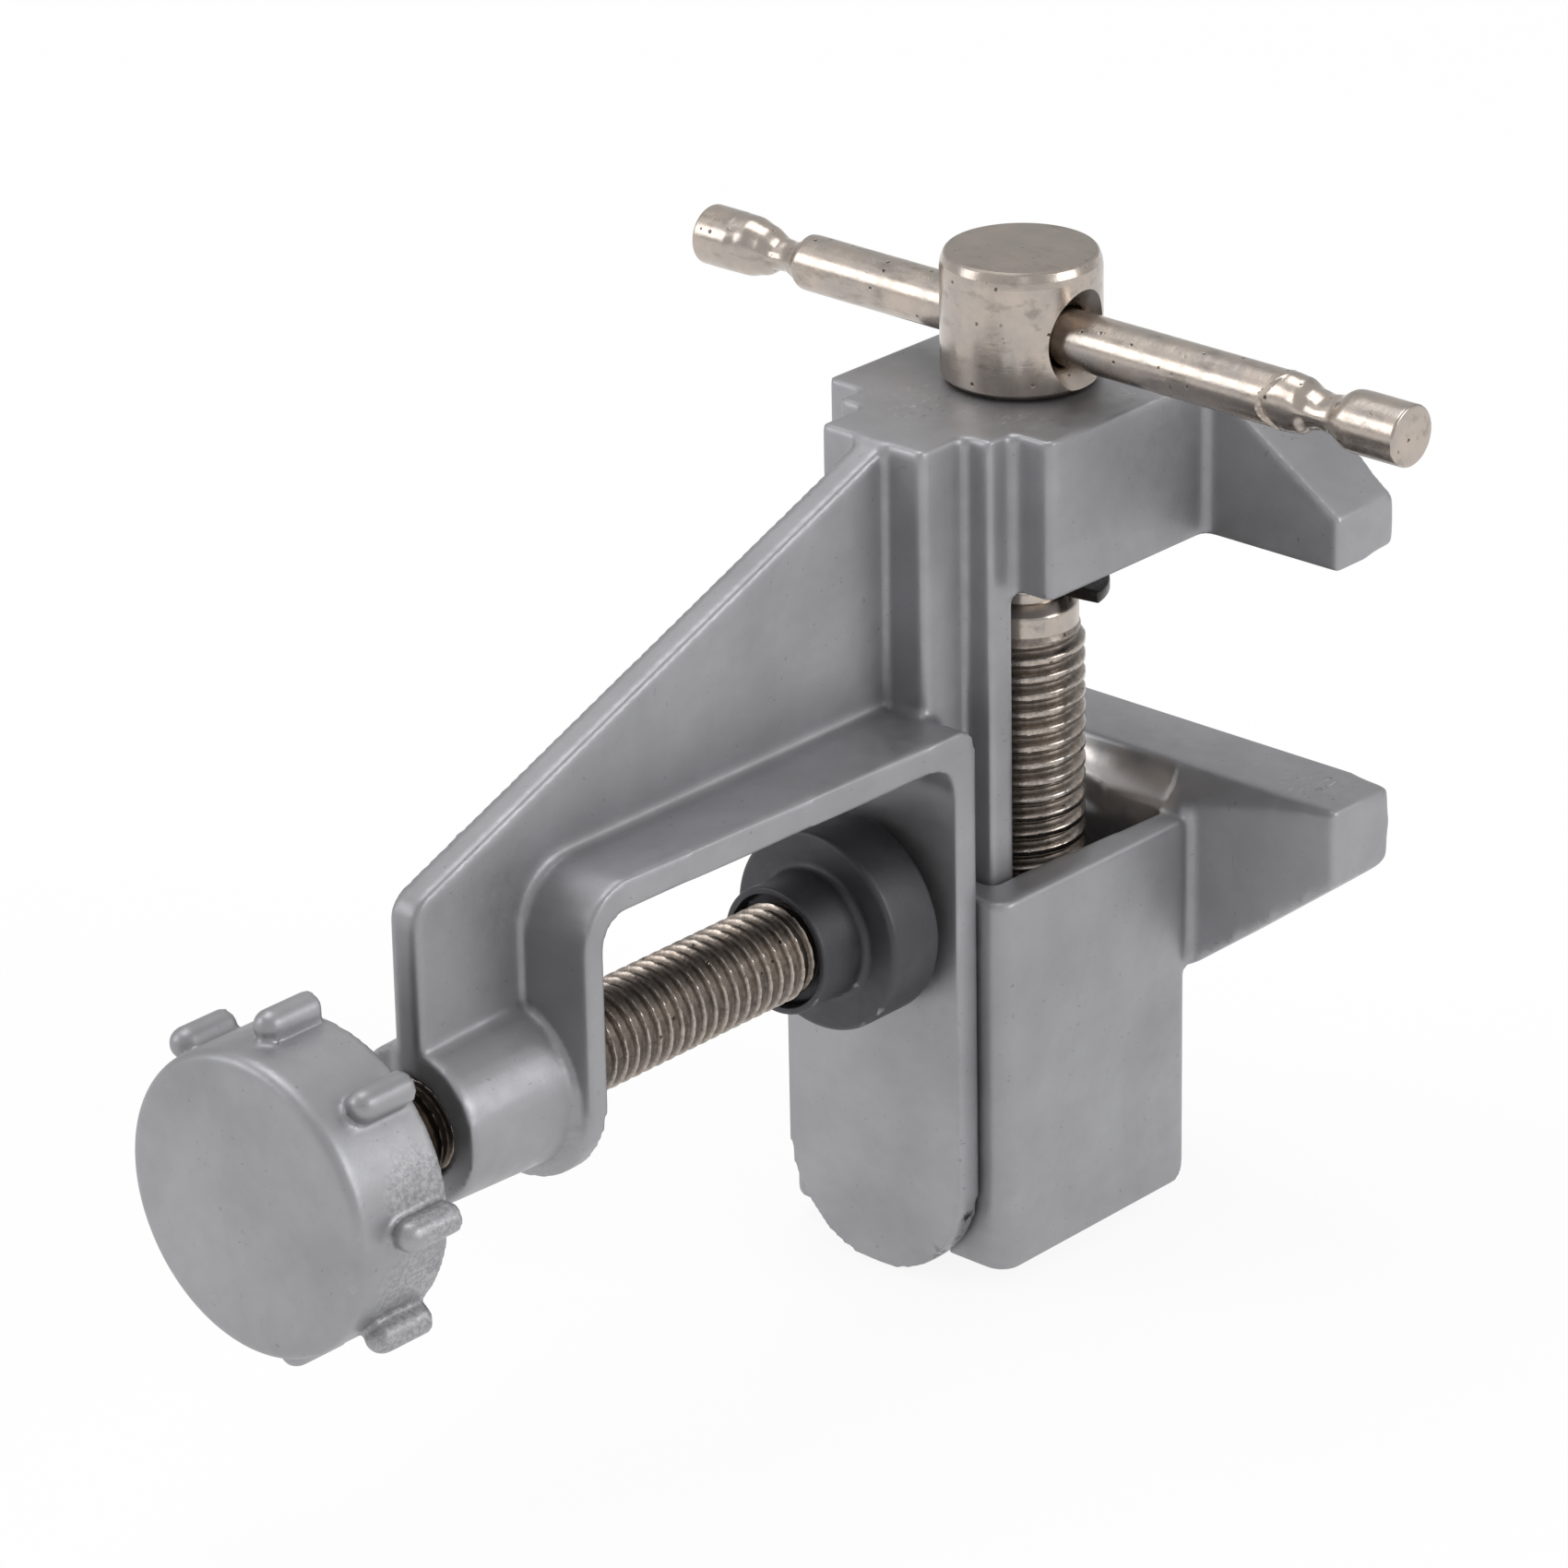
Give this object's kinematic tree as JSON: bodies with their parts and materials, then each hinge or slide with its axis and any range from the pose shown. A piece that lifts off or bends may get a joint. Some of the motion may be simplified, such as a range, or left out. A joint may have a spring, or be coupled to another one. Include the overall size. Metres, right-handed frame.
{
  "type": "clamp-on table vise",
  "caption": "Small cast table vise: C-shaped clamp with a ribbed knob and swivel pad, and wide jaws closed by a screw with a sliding handle bar.",
  "frame": {"origin": "on the plate's face that bears on the table, on the clamp screw's axis", "axes": "+X from the knob to the jaws, +Z along the main screw towards its head; in use the vise is turned so that +X is up"},
  "size_m": [0.104, 0.0715, 0.0817],
  "materials": {
    "casting_paint": "grey satin paint on a casting",
    "jaw_paint": "grey satin paint on a casting",
    "screw_steel": "turned steel with a thin plating",
    "clip_black": "black spring steel",
    "bar_steel": "drawn steel with crimped ends",
    "clamp_steel": "threaded steel with a thin plating",
    "pad_iron": "dark grey satin",
    "knob_paint": "grey satin paint on a rough casting"
  },
  "bodies": {
    "body": {"body_casting": "casting_paint"},
    "sliding jaw": {"sliding_jaw": "jaw_paint"},
    "main screw": {"main_screw": "screw_steel", "e_clip": "clip_black"},
    "handle bar": {"handle_bar": "bar_steel"},
    "pad": {"pad": "pad_iron"},
    "clamp screw": {"clamp_screw": "clamp_steel", "knob": "knob_paint"}
  },
  "joints": [
    {"name": "main_screw_turn", "type": "hinge", "parent": "body", "child": "main screw", "pos_m": [0.0188, 0, 0.0392], "axis": [0, 0, -1], "range_deg": [-2402, 4826]},
    {"name": "jaw_slide", "type": "slide", "parent": "body", "child": "sliding jaw", "axis": [0, 0, 1], "range_m": [-0.01, 0.0201]},
    {"name": "handle_slide", "type": "slide", "parent": "main screw", "child": "handle bar", "axis": [0, 1, 0.0052], "range_m": [-0.0195, 0.0185]},
    {"name": "pad_slide", "type": "slide", "parent": "body", "child": "pad", "axis": [1, 0, 0], "range_m": [-0.027, 0.0011]},
    {"name": "clamp_screw_turn", "type": "hinge", "parent": "pad", "child": "clamp screw", "pos_m": [-0.03, 0, 0], "axis": [1, 0, 0], "range_deg": [-7778, 318]}
  ],
  "couplings": [
    {"joint": "main_screw_turn", "follows": "jaw_slide", "rad_per_m": 4188.8},
    {"joint": "clamp_screw_turn", "follows": "pad_slide", "rad_per_m": 5026.5}
  ]
}
